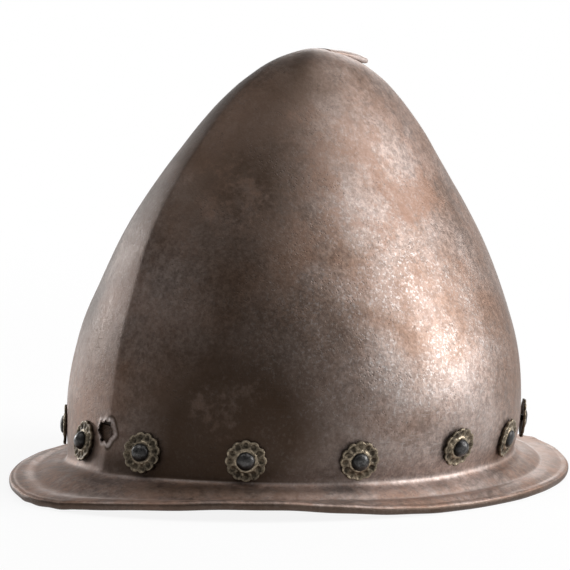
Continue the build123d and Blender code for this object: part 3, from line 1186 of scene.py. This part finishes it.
    def marks(
        self, sheet: Array, angles: Array, outer_rows: int, roll_rows: int, outward: Array
    ) -> dict[str, Array]:
        """Where the finish changes over the plate, as soft patches round the helmet and up it; the
        dark patches are partly painted shade and the pale bands partly painted highlight.

        Args:
            sheet: points.
            angles: of its columns.
            outer_rows: rows of the outside, which come first.
            roll_rows: rows of the roll, which follow.
            outward: share of the way from the foot to the edge, for each row.

        Returns:
            A value for each point and each mark.
        """
        degrees, height = np.degrees(angles)[None, :], sheet[..., 2]
        inside = np.zeros(height.shape)
        inside[outer_rows + roll_rows - 4 :] = 1.0
        brim = ease(outward, 0.0, 0.08)
        # Painted shade as well as soot: the plate is darkened where it turns from the lamps, on the
        # right front, high on the left side, and on the brim's slope.
        smoke_and_shade_mark = patches(degrees, height, self.smoke_and_shade)
        smoke_and_shade_mark += 0.95 * bell(degrees, -34, 34) * ease(height, 24, 90)
        smoke_and_shade_mark += 0.48 * bell(degrees, 52, 36) * ease(height, 110, 165)
        smoke_and_shade_mark *= 1 - 0.75 * brim
        smoke_and_shade_mark += 0.5 * bell(outward, 0.33, 0.2) * bell(degrees, 36, 26)
        # Painted shade: the underside of the turned edge and the inside are kept dark.
        smoke_and_shade_mark[outer_rows + 5 :] = np.maximum(smoke_and_shade_mark[outer_rows + 5 :], 0.85)
        rusty = patches(degrees, height, self.rust) + 0.3 + 0.4 * brim
        # Bare metal, partly painted sheen: thickest in the lamp's highlight, thinned where shade is
        # painted.
        wear_and_sheen = patches(degrees, height, self.sheen_and_wear_patches) + 0.1
        wear_and_sheen *= 1 - 0.6 * np.clip(1.6 * smoke_and_shade_mark - 0.6, 0, 1)
        rubbed = patches(degrees, height, self.rubbing) * (1 - brim)
        distance, _, _ = self.tear_distance(sheet)
        ragged = 0.75 + 0.7 * waves(sheet, 2.4, 17)
        wear_and_highlight = 0.8 * bell(distance, 0.9, 0.8) * ragged
        wear_and_highlight += 0.5 * bell(distance, 1.2, 0.7) * bell(height, 26.6, 1.6)
        # Painted highlight, partly rubbed metal: a pale band in the hollow of the brim at the
        # front.
        streak = bell(outward, 0.74, 0.14) * bell(degrees, 8, 20)
        wear_and_highlight += 0.95 * streak * (0.8 + 0.3 * waves(sheet, 6.0, 12))
        # Painted highlight, partly rubbed metal, along the fillet at the foot; then painted
        # highlight along the brim's knee towards the rear on the wearer's left.
        wear_and_highlight += 0.25 * bell(outward, 0.02, 0.04) * (outward > 0)
        wear_and_highlight += 0.3 * bell(outward, 0.56, 0.03) * ease(degrees, 50, 80)
        # Painted highlight on the groove's front side.
        wear_and_highlight += patches(degrees, height, self.gouge_highlight)
        # Painted shadow beside the torn lip, on its side towards the wearer's left.
        smoke_and_shade_mark += 0.8 * bell(distance, 2.6, 0.6) * (sheet[..., 0] > self.tear_offset + 1)
        # Painted shade inside the groove.
        smoke_and_shade_mark += patches(degrees, height, self.gouge_shade)
        found = {
            "inside": inside,
            "smoke_and_shade_mark": smoke_and_shade_mark,
            "rusty": rusty,
            "wear_and_sheen": wear_and_sheen,
            "rubbed": rubbed,
            "wear_and_highlight": wear_and_highlight,
        }
        return {name: np.clip(values, 0, 1) for name, values in found.items()}


@dataclass
class EdgeWire:
    """The wire that the brim's edge is turned over, bent along with it."""

    skull: Skull
    finish: bpy.types.Material
    radius: float = 1.05

    def build(self) -> bpy.types.Object:
        """Builds it as a round section carried along the turned edge's middle line.

        Returns:
            The wire.
        """
        angles = self.skull.angles()
        form = self.skull.form
        line, normal = form.edge_line(angles)
        around = np.linspace(0, TURN, 12, endpoint=False)[:, None]
        out = self.radius * np.cos(around)
        height = form.roll_height + self.skull.edge_lift(angles) + self.radius * np.sin(around)
        x, y = (line[:, k] + normal[:, k] * out for k in (0, 1))
        rows, columns = height.shape
        points = np.stack([x, y, height], axis=-1).reshape(-1, 3)
        faces = (ring_faces(rows + 1, columns) % (rows * columns)).tolist()
        return make_piece(
            "bent_edge_wire", points, faces, self.finish, replaces=["edge_wire"]
        )


@dataclass
class Beak:
    """The small tongue at the apex that points to the rear.

    The shares give how far along a section stands, how far it has dropped, its width and thickness.
    """

    finish: bpy.types.Material
    root: float = 9.5
    length: float = 31.2
    drop: float = 5.7
    half_width: float = 6.5
    half_thickness: float = 1.3
    top: float = 217.7
    shares: tuple = ((0.0, 0.0, 1.0, 1.0), (0.7, 0.58, 0.95, 1.75), (1.0, 0.87, 0.6, 1.2))
    even_marks: tuple = (
        ("inside", 0.0),
        ("smoke_and_shade_mark", 0.3),
        ("rusty", 0.5),
        ("wear_and_sheen", 0.4),
        ("rubbed", 0.0),
    )

    def build(self) -> bpy.types.Object:
        """Builds it as a flat rounded section carried along a falling line, its end drawn in.

        Returns:
            The beak.
        """
        shares = np.array(self.shares)
        rows = smooth_rows(shares[:, 0], shares, np.linspace(0, 1, 26))
        rows[-1, 2:] *= (0.7, 0.75)
        turns = np.linspace(0, TURN, 48, endpoint=False)
        across = np.sign(np.cos(turns)) * np.abs(np.cos(turns)) ** 0.8
        up = np.sign(np.sin(turns)) * np.abs(np.sin(turns)) ** 0.75
        along, down, wide, thick = (column[:, None] for column in rows.T)
        x = self.half_width * wide * across
        sag = 0.12 * np.abs(x) ** 1.5 / 3
        middle = self.top - self.half_thickness - self.drop * down - sag * along
        z = middle + self.half_thickness * thick * up
        y = self.root + self.length * along + 0 * x
        grid = np.stack([x, y, np.minimum(z, self.top - 0.01)], axis=-1)
        tip = grid[-1].mean(axis=0) + (0, 0.2, 0)
        points, faces = close_poles(grid, grid[0].mean(axis=0), tip)
        sides = bell(np.abs(across), 1.0, 0.25) * ease(along, 0.3, 0.7)
        lip = np.clip(bell(along, 1.0, 0.12) + sides, 0, 1) * 0.55
        marks = {"wear_and_highlight": np.append(lip.reshape(-1), [0.0, 0.5])}
        for name, value in self.even_marks:
            marks[name] = np.full(len(points), value)
        return make_piece("beak", points, faces, self.finish, marks=marks)


class Spot(Enum):
    """Places of the rivets on each side: degrees from the front, and height above the floor."""

    FRONT = (16.2, 24.9)
    FRONT_SIDE = (40.7, 24.9)
    FORE_SIDE = (65.2, 25.6)
    MID_SIDE = (90.8, 28.9)
    AFT_SIDE = (112.8, 27.4)
    REAR_SIDE = (136.2, 30.0)
    REAR = (162.0, 29.0)


@dataclass
class RivetRow:
    """The lining rivets, each with its stamped brass rosette."""

    form: HelmetForm
    brass: bpy.types.Material
    iron: bpy.types.Material
    petals: int = 12
    rosette_radius: float = 10.1
    petal_radius: float = 2.75
    sheet: float = 0.8
    stand_off: float = 0.6
    bore: float = 1.75
    head_radius: float = 4.5
    head_height: float = 3.5
    shank: float = 1.6
    seat: float = 2.45
    loose: tuple = ("left", Spot.REAR_SIDE)
    loose_lift: float = 1.2
    tilt: float = 0.8
    beaten: tuple = (
        ("right", Spot.FRONT_SIDE, 1.9),
        ("left", Spot.AFT_SIDE, 1.6),
        ("left", Spot.REAR_SIDE, 2.3),
    )

    def rosette(self, seed: int) -> tuple[Array, list, Array]:
        """A stamped rosette: a dished sheet with lobed edge, whose height is the sum of a dish, a
        raised collar, a ring with a dimple in each lobe, and a groove between lobes.

        Args:
            seed: picks its dents.

        Returns:
            Points, faces, and how raised each point is.
        """
        columns = self.petals * 12
        angles = np.linspace(0, TURN, columns, endpoint=False)
        pitch = TURN / self.petals
        off = (angles + pitch / 2) % pitch - pitch / 2
        circle = self.rosette_radius - self.petal_radius
        edge = circle * np.cos(off) + np.sqrt(self.petal_radius**2 - (circle * np.sin(off)) ** 2)
        steps = np.concatenate([np.linspace(0, 0.4, 4), np.linspace(0.44, 0.985, 24), [1.0]])
        reach = self.bore + (edge - self.bore) * steps[:, None]
        eye = np.hypot(reach * np.cos(off) - circle, reach * np.sin(off))
        rim = edge - reach
        relief = 0.55 * (1 - ease(reach, 4.7, 5.9)) + 0.45 + 0.25 * bell(reach, 5.35, 0.4)
        relief += 0.2 * bell(eye, 1.8, 0.4) - 0.62 * bell(eye, 0.0, 1.15)
        between = bell(np.abs(off) * reach, 1.95, 0.35) * ease(reach, 6.4, 7.6)
        relief -= 0.3 * between * ease(rim, 0.3, 0.9)
        relief += 0.25 * bell(rim, 0.5, 0.35)
        place = np.stack([reach * np.cos(angles), reach * np.sin(angles), 0 * reach], axis=-1)
        relief += 0.12 * waves(place, 6.0, seed)
        bend = 0.22 * waves(place, 17.0, seed + 50) * (reach / self.rosette_radius) ** 2
        upper = place.copy()
        upper[..., 2] = self.stand_off + self.sheet + relief + bend
        upper[-1, :, 2] -= 0.28
        upper[..., 2] = np.maximum(upper[..., 2], self.stand_off + 0.35)
        lower = place[[-1, 20, 8, 0]]
        lower[..., 2] = self.stand_off + np.array([0.1, 0.12, 0.5, 0.75])[:, None] + 0 * angles
        grid = np.concatenate([upper, lower])
        points = grid.reshape(-1, 3)
        faces = ring_faces(len(grid), columns)
        close = ring_faces(2, columns)
        close = np.where(close >= columns, close - columns, close + (len(grid) - 1) * columns)
        # The dimples, the grooves between lobes and the turned-down rim get a low mark and the
        # underside rows none, so they stay dark as painted shade; raised parts turn pale, partly as
        # painted highlight.
        high = np.clip(relief * 1.5 - 0.3, 0, 1) * ease(rim, -0.1, 0.25)
        raised = np.concatenate([high, np.zeros(lower.shape[:2])]).reshape(-1)
        return points, np.vstack([faces, close]).tolist(), raised

    def rivet(self, slack: float, flat: float, seed: int) -> tuple[Array, list]:
        """A rivet: a domed head with a soft rim, its shank, and the tail beaten over the burr.

        Args:
            slack: how far the head stands out from its seat.
            flat: how much of the head's height is beaten away.
            seed: picks its dents.

        Returns:
            Points and faces.
        """
        turn = np.radians(np.linspace(90, 8, 12))
        low = self.seat + slack
        tall = self.head_height - flat
        reach = self.head_radius * np.cos(turn) ** 0.92
        dome = np.stack([reach, low + tall * np.sin(turn)], axis=-1)
        dome[0, 0] = 0.0
        rim = [(self.head_radius, low + 0.25), (self.head_radius - 0.25, low)]
        shank = [(self.shank, low), (self.shank, -5.5)]
        tail = [(2.45, -5.5), (2.6, -5.75), (2.3, -6.15), (1.2, -6.55), (0.0, -6.6)]
        return revolve(np.vstack([dome, rim, shank, tail]), 40, 0.02, seed)

    def build(self) -> None:
        """Builds a rivet and a rosette at every spot of both sides."""
        dice = np.random.default_rng(21)
        beaten = {(side, spot): flat for side, spot, flat in self.beaten}
        places = [(side, way, spot) for side, way in (("left", 1), ("right", -1)) for spot in Spot]
        for seed, (side, way, spot) in enumerate(places, start=1):
            origin, axes = self.form.station(*spot.value, way)
            name = f"{side}_{spot.name.lower()}"
            loose = (side, spot) == self.loose
            flat = beaten.get((side, spot), 0.0)
            slack = (self.loose_lift if loose else 0.0) - 0.25 * flat
            points, faces, raised = self.rosette(seed)
            turn = dice.uniform(0, TURN)
            tilt = np.radians(dice.normal(0, self.tilt, 2)) * (flat == 0.0)
            spun = self.spin(points, turn)
            spun[:, 2] += spun[:, 0] * tilt[0] + spun[:, 1] * tilt[1] + slack
            self.fasten(
                f"rosette_{name}", "stamped", origin + spun @ axes, faces, raised, loose
            )
            points, faces = self.rivet(slack, flat, seed)
            # The dome's top is marked high, so it turns paler, partly as painted highlight.
            top = np.clip((points[:, 2] - self.seat - 0.8 - slack) / 2.4, 0, 1)
            self.fasten(f"rivet_{name}", "domed", origin + points @ axes, faces, top)

    def fasten(
        self,
        node: str,
        kind: str,
        points: Array,
        faces: list,
        raised: Array,
        loose: bool = False,
    ) -> None:
        """Makes one rosette or rivet in place of its node.

        Args:
            node: the CAD node that it stands for.
            kind: stamped for a rosette, domed for a rivet.
            points: in place.
            faces: corners of each face.
            raised: how raised each point is.
            loose: whether it turns about its rivet.
        """
        brass = kind == "stamped"
        finish, slot = (self.brass, Slot.BRASS) if brass else (self.iron, Slot.RIVET)
        body = Body.LOOSE if loose else Body.HELMET
        marks = {"raised": raised}
        make_piece(f"{kind}_{node}", points, faces, finish, body, marks, [node])

    def spin(self, points: Array, turn: float) -> Array:
        """Points turned about the z axis.

        Args:
            points: to turn.
            turn: radians.

        Returns:
            The turned points.
        """
        spun = points.copy()
        spun[:, 0] = points[:, 0] * math.cos(turn) - points[:, 1] * math.sin(turn)
        spun[:, 1] = points[:, 0] * math.sin(turn) + points[:, 1] * math.cos(turn)
        return spun


@dataclass
class HiddenParts:
    """The burrs and the lining strap, which keep their CAD solids."""

    iron: bpy.types.Material
    leather: bpy.types.Material

    def dress(self) -> None:
        """Gives each of these nodes its material."""
        for name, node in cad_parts.items():
            if name.startswith("burr_"):
                self.assign(node, self.iron)
            elif name.startswith("lining_strap"):
                self.assign(node, self.leather)

    def assign(self, node: bpy.types.Object, finish: bpy.types.Material) -> None:
        """Puts a material in every slot of a node."""
        for slot in node.material_slots:
            slot.material = finish
        log.info("%s: %s", node.name, finish.name)


@dataclass(frozen=True)
class Lamp:
    """A soft square lamp that looks at the helmet.

    Azimuth is degrees from the front towards the wearer's left, elevation degrees above the floor;
    it stands so many metres away, is so many metres across, and gives so many watts.
    """

    name: str
    azimuth: float
    elevation: float
    away: float
    size: float
    power: float

    def hang(self) -> None:
        """Adds the lamp to the scene."""
        data = bpy.data.lights.new(self.name, "AREA")
        data.size, data.energy = self.size, self.power
        lamp = bpy.data.objects.new(self.name, data)
        way = view_way(self.azimuth, self.elevation)
        lamp.location = way * self.away + Vector((0, 0, 0.1))
        lamp.rotation_euler = way.to_track_quat("Z", "Y").to_euler()
        bpy.context.scene.collection.objects.link(lamp)


def view_way(azimuth: float, elevation: float) -> Vector:
    """Direction from the helmet to a viewer or a lamp.

    Args:
        azimuth: degrees from the front towards the wearer's left.
        elevation: degrees above the floor.

    Returns:
        A unit vector.
    """
    turn, rise = math.radians(azimuth), math.radians(elevation)
    level = math.cos(rise)
    return Vector((math.sin(turn) * level, -math.cos(turn) * level, math.sin(rise)))


@dataclass
class Studio:
    """The pale floor with a low backdrop, the soft lights and the photograph's camera.

    The camera's distances are millimetres and its shift pixels; the stage's sizes are metres.
    """

    azimuth: float = 45.6
    elevation: float = 6.1
    roll: float = 1.6
    distance: float = 1500.0
    lens: float = 185.4
    target: tuple = (0.0, -1.0, 100.0)
    right_px: float = 15.1
    up_px: float = 5.9
    px_per_mm: float = 1.957
    world_strength: float = 0.18
    floor_reach: float = 30.0
    backdrop_away: float = 2.6
    backdrop_reach: float = 2.6
    backdrop_height: float = 1.2
    lamps: tuple = (
        Lamp("right_softbox", 133.0, 24.0, 2.0, 1.3, 50.0),
        Lamp("left_softbox", -86.0, 6.0, 2.2, 0.9, 17.0),
        Lamp("front_fill", -30.0, 60.0, 2.2, 1.2, 9.0),
        Lamp("top_softbox", 138.0, 66.0, 2.2, 1.2, 15.0),
        Lamp("back_softbox", -142.0, 26.0, 2.2, 0.9, 12.0),
    )

    def place_camera(self) -> None:
        """Stands the camera on its view line, aims it, and turns it by its roll."""
        azimuth, roll = math.radians(self.azimuth), math.radians(self.roll)
        back = view_way(self.azimuth, self.elevation)
        spot = Vector(self.target) + back * self.distance
        level = Vector((math.cos(azimuth), math.sin(azimuth), 0.0))
        upward = back.cross(level)
        right = level * math.cos(roll) + upward * math.sin(roll)
        up = upward * math.cos(roll) - level * math.sin(roll)
        aim = Vector(self.target) - (right * self.right_px + up * self.up_px) / self.px_per_mm
        view = (spot - aim).normalized()
        right = (right - view * right.dot(view)).normalized()
        up = view.cross(right)
        data = bpy.data.cameras.new("camera")
        data.lens, data.clip_start, data.clip_end = self.lens, 0.05, 60.0
        camera = bpy.data.objects.new("camera", data)
        axes = Matrix((right, up, view)).transposed().to_4x4()
        camera.matrix_world = Matrix.Translation(spot * MM) @ axes
        bpy.context.scene.collection.objects.link(camera)
        bpy.context.scene.camera = camera

    def white_for_camera(self, graph: Graph) -> Socket:
        """1 for a ray that the camera sends straight, over gloss or through glass.

        Args:
            graph: the material's graph.

        Returns:
            The share.
        """
        path = graph.add("LightPath")
        seen = graph.most(path.outputs["Is Camera Ray"], path.outputs["Is Glossy Ray"])
        return graph.most(seen, path.outputs["Is Transmission Ray"])

    def make_sheet(self, name: str, corners: list, material: bpy.types.Material) -> None:
        """Adds a flat sheet of the set.

        Args:
            name: the sheet's name.
            corners: its four corners in metres.
            material: its finish.
        """
        mesh = bpy.data.meshes.new(name)
        mesh.from_pydata(corners, [], [(0, 1, 2, 3)])
        mesh.materials.append(material)
        sheet = bpy.data.objects.new(name, mesh)
        bpy.context.scene.collection.objects.link(sheet)

    def paper(self) -> bpy.types.Material:
        """White paper that shows white to the camera, a little less near the helmet, and keeps its
        soft shadow.

        Returns:
            The material.
        """
        material, graph, shader, at = new_material("floor_paper")
        shader.inputs["Base Color"].default_value = rgb(0.78, 0.78, 0.78)
        shader.inputs["Roughness"].default_value = 0.9
        shader.inputs["Specular IOR Level"].default_value = 0.0
        glow = graph.add("Emission", {"Color": rgb(1, 1, 1), "Strength": 1.0}).outputs[0]
        away = graph.add("VectorMath", {0: at}, operation="LENGTH").outputs["Value"]
        white = graph.plus(graph.ramp(away, 0.35, 1.3, 0.12), 0.88)
        share = graph.times(self.white_for_camera(graph), white)
        mixed = graph.add("MixShader", {0: share, 1: shader.outputs[0], 2: glow}).outputs[0]
        graph.tree.links.new(mixed, graph.tree.nodes["Material Output"].inputs["Surface"])
        return material

    def make_stage(self) -> None:
        """Lays the wide floor and stands the low backdrop behind the helmet."""
        material = self.paper()
        square = ((-1, -1), (1, -1), (1, 1), (-1, 1))
        floor = [(x * self.floor_reach, y * self.floor_reach, 0) for x, y in square]
        self.make_sheet("floor", floor, material)
        turn = math.radians(self.azimuth)
        behind = Vector((-math.sin(turn), math.cos(turn), 0)) * self.backdrop_away
        beside = Vector((math.cos(turn), math.sin(turn), 0)) * self.backdrop_reach
        rise = Vector((0, 0, self.backdrop_height))
        low = [behind - beside, behind + beside]
        corners = [tuple(corner) for corner in (*low, low[1] + rise, low[0] + rise)]
        self.make_sheet("backdrop", corners, material)

    def light_world(self) -> None:
        """Gives the world a plain even light."""
        world = bpy.data.worlds.new("world")
        world.use_nodes = True
        bpy.context.scene.world = world
        background = world.node_tree.nodes["Background"]
        background.inputs["Color"].default_value = rgb(1, 1, 1)
        background.inputs["Strength"].default_value = self.world_strength

    def build(self) -> None:
        """Sets up the stage, the world, the lamps and the camera."""
        self.make_stage()
        self.light_world()
        for lamp in self.lamps:
            lamp.hang()
        self.place_camera()
        bpy.context.scene.view_settings.view_transform = "Standard"


# The dark brass is also painted shade in the rosettes' hollows and under their rims; the paler one
# is partly painted highlight.
BRASS = PlainMetal(
    name="rosette_brass",
    dark=rgb(0.040, 0.031, 0.021),
    light=rgb(0.130, 0.102, 0.070),
    wear_and_sheen=rgb(0.370, 0.305, 0.220),
    roughness=0.48,
    metallic=0.8,
    bump=0.25,
    relief_mark="raised",
)
# The pale colour on the rivet domes' tops is partly painted highlight.
RIVET_IRON = PlainMetal(
    name="rivet_iron",
    dark=rgb(0.018, 0.017, 0.017),
    light=rgb(0.040, 0.039, 0.039),
    wear_and_sheen=rgb(0.090, 0.087, 0.085),
    roughness=0.42,
    metallic=0.85,
    bump=0.15,
    relief_mark="raised",
)
PLAIN_IRON = PlainMetal(
    name="plain_iron",
    dark=rgb(0.050, 0.040, 0.035),
    light=rgb(0.120, 0.098, 0.086),
    wear_and_sheen=rgb(0.300, 0.280, 0.260),
    roughness=0.55,
    metallic=0.8,
)


def main() -> None:
    """Builds the stage, then the helmet from its plate down to its hidden parts."""
    logging.basicConfig(level=logging.INFO, format="%(name)s: %(message)s")
    groups = Groups()
    plate = BrownedPlate().build(groups)
    brass, rivet, iron = (metal.build(groups) for metal in (BRASS, RIVET_IRON, PLAIN_IRON))
    leather = StrapLeather().build(groups)
    form = HelmetForm()
    Studio().build()
    skull = Skull(form, plate)
    skull.build()
    EdgeWire(skull, iron).build()
    Beak(plate).build()
    RivetRow(form, brass, rivet).build()
    HiddenParts(iron, leather).dress()


if __name__ == "__main__":
    main()
